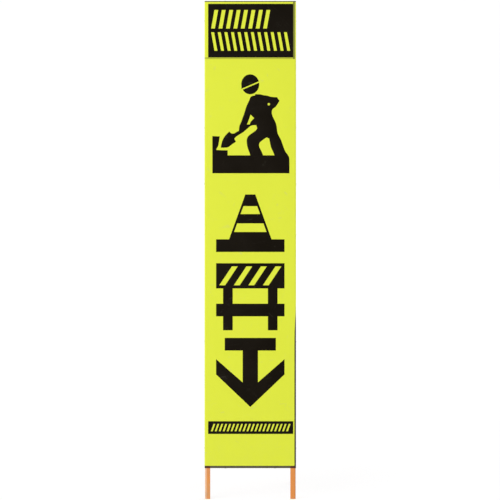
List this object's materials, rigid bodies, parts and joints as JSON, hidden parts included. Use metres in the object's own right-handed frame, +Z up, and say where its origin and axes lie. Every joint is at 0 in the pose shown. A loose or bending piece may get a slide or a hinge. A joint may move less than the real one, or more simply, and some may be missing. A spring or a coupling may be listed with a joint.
{
  "type": "standing road sign",
  "caption": "Slim folding road-works sign: a tall narrow reflective face on an angle-steel frame, with a hinged rear stand held open by a hooked stay rod.",
  "frame": {"origin": "on the ground, midway between the outer faces, midway between the front of the front feet and the back of the rear feet", "axes": "+Z up, the face looks towards -Y, +X to the viewer's right"},
  "size_m": [0.2778, 0.2826, 1.486],
  "materials": {
    "panel_paint": "satin dark grey-olive paint on thin folded steel sheet",
    "yellow_sheeting": "fluorescent yellow-green prismatic reflective sheeting",
    "black_film": "satin black cut film",
    "orange_enamel": "baked orange enamel, worn at the edges",
    "zinc": "bright zinc plate",
    "rivet_metal": "plain blind rivets"
  },
  "bodies": {
    "sign": {"face_panel": "panel_paint", "reflective_sheet": "yellow_sheeting", "film_top_block": "black_film", "film_worker": "black_film", "film_helmet": "black_film", "film_head": "black_film", "film_cone": "black_film", "film_barrier": "black_film", "film_arrow": "black_film", "film_lower_strip": "black_film", "upright_left": "orange_enamel", "upright_right": "orange_enamel", "top_rail": "orange_enamel", "upper_rail": "orange_enamel", "middle_rail": "orange_enamel", "lower_rail": "orange_enamel", "bottom_rail": "orange_enamel", "rivet_left_1": "rivet_metal", "rivet_left_2": "rivet_metal", "rivet_left_3": "rivet_metal", "rivet_left_4": "rivet_metal", "rivet_left_5": "rivet_metal", "rivet_right_1": "rivet_metal", "rivet_right_2": "rivet_metal", "rivet_right_3": "rivet_metal", "rivet_right_4": "rivet_metal", "rivet_right_5": "rivet_metal", "rivet_top_left": "rivet_metal", "rivet_top_right": "rivet_metal", "rivet_bottom_left": "rivet_metal", "rivet_bottom_right": "rivet_metal", "hinge_bolt_left": "zinc", "hinge_bolt_right": "zinc", "hinge_spacer_left": "zinc", "hinge_spacer_right": "zinc", "hinge_washer_left": "zinc", "hinge_washer_right": "zinc", "hinge_nut_left": "zinc", "hinge_nut_right": "zinc", "stay_bracket": "orange_enamel", "stay_pin": "zinc"},
    "stand": {"stand_leg_left": "orange_enamel", "stand_leg_right": "orange_enamel", "stand_crossbar_upper": "orange_enamel", "stand_crossbar_lower": "orange_enamel"},
    "stay": {"stay_rod": "zinc"}
  },
  "joints": [
    {"name": "stand_fold", "type": "hinge", "parent": "sign", "child": "stand", "pos_m": [0, 0.0048, 0.93881], "axis": [-1, 0, 0], "range_deg": [0, 16]},
    {"name": "stay_swing", "type": "hinge", "parent": "sign", "child": "stay", "pos_m": [0, -0.08039, 0.33266], "axis": [1, 0, 0], "range_deg": [0, 105]}
  ]
}
